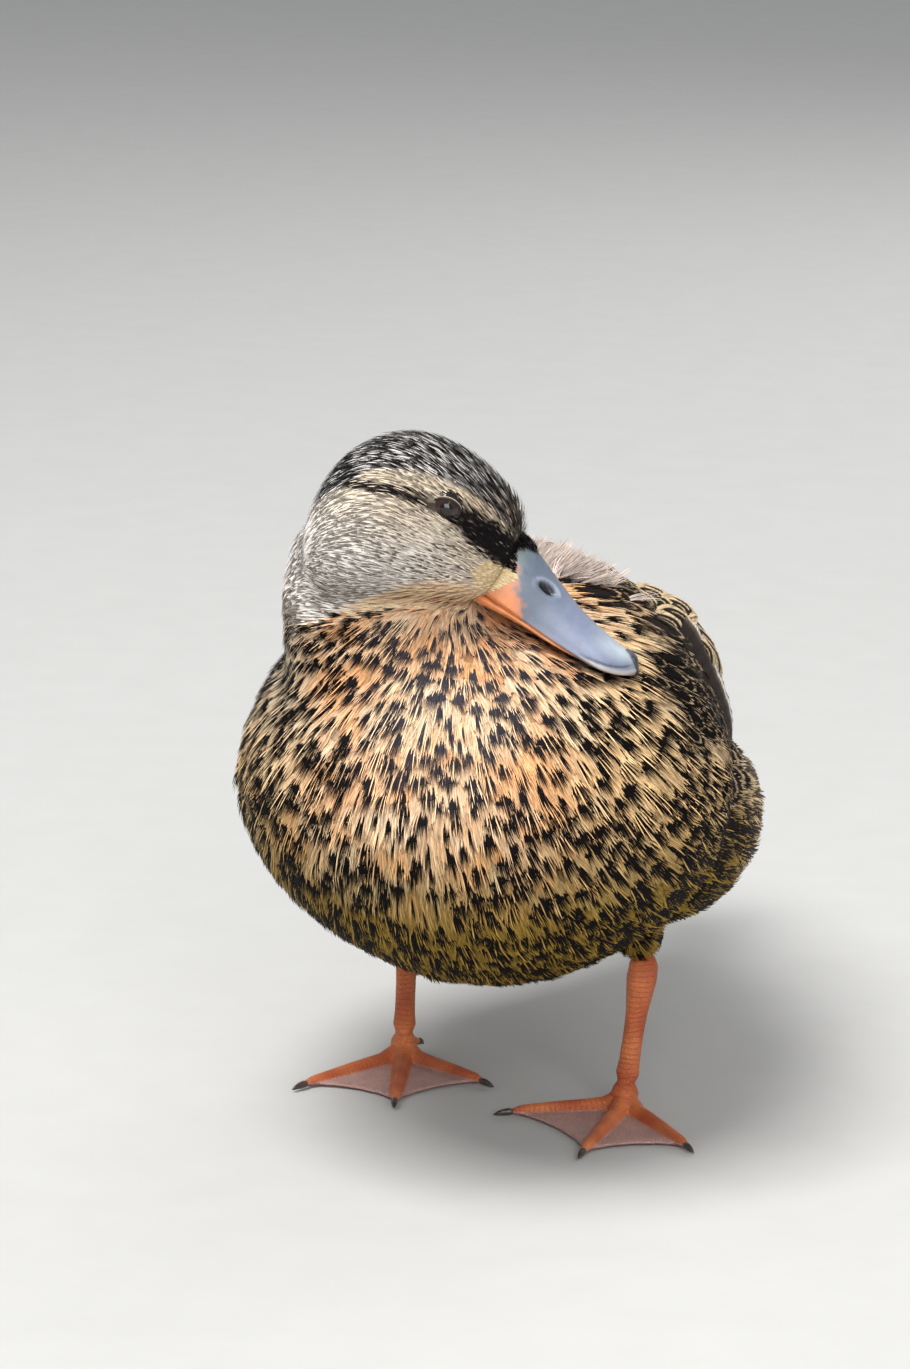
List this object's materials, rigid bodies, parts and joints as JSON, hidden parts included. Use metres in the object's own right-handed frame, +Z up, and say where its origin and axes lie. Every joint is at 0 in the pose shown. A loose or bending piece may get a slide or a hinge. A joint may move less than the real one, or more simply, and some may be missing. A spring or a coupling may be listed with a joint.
{
  "type": "hen mallard duck, standing still model",
  "caption": "Life-size still model of a female mallard duck standing on webbed feet, head turned over her left shoulder with the bill resting on the breast.",
  "frame": {"origin": "centre of the bounding box, at the level of the soles of the feet", "axes": "+Z up; the duck faces -Y and its tail points to +Y; its left side is +X"},
  "size_m": [0.1658, 0.345, 0.2442],
  "materials": {
    "plumage_body": "soft overlapping feathers, buff with dark brown centres",
    "plumage_head": "short hairlike feathers, buff with dark streaks",
    "plumage_wing": "smooth flight and cover feathers, brown with buff edges",
    "bill": "satin horn, blue-grey with an orange base",
    "bill_edge": "satin horn, orange",
    "bill_nail": "hard horn, dark grey",
    "eye": "wet gloss, dark brown",
    "leg_skin": "scaled skin, orange-red with greyish webs",
    "claw": "hard horn, dark grey"
  },
  "bodies": {
    "root": {"head": "plumage_head", "bill_upper": "bill", "bill_lower": "bill_edge", "bill_nail": "bill_nail", "eye_left": "eye", "eye_right": "eye", "neck": "plumage_body", "trunk": "plumage_body", "wing_left": "plumage_wing", "wing_right": "plumage_wing", "tail": "plumage_wing", "thigh_left": "plumage_body", "thigh_right": "plumage_body", "leg_left": "leg_skin", "leg_right": "leg_skin", "foot_left": "leg_skin", "foot_right": "leg_skin", "claw_left_inner": "claw", "claw_left_middle": "claw", "claw_left_outer": "claw", "claw_left_hind": "claw", "claw_right_inner": "claw", "claw_right_middle": "claw", "claw_right_outer": "claw", "claw_right_hind": "claw"}
  },
  "joints": []
}
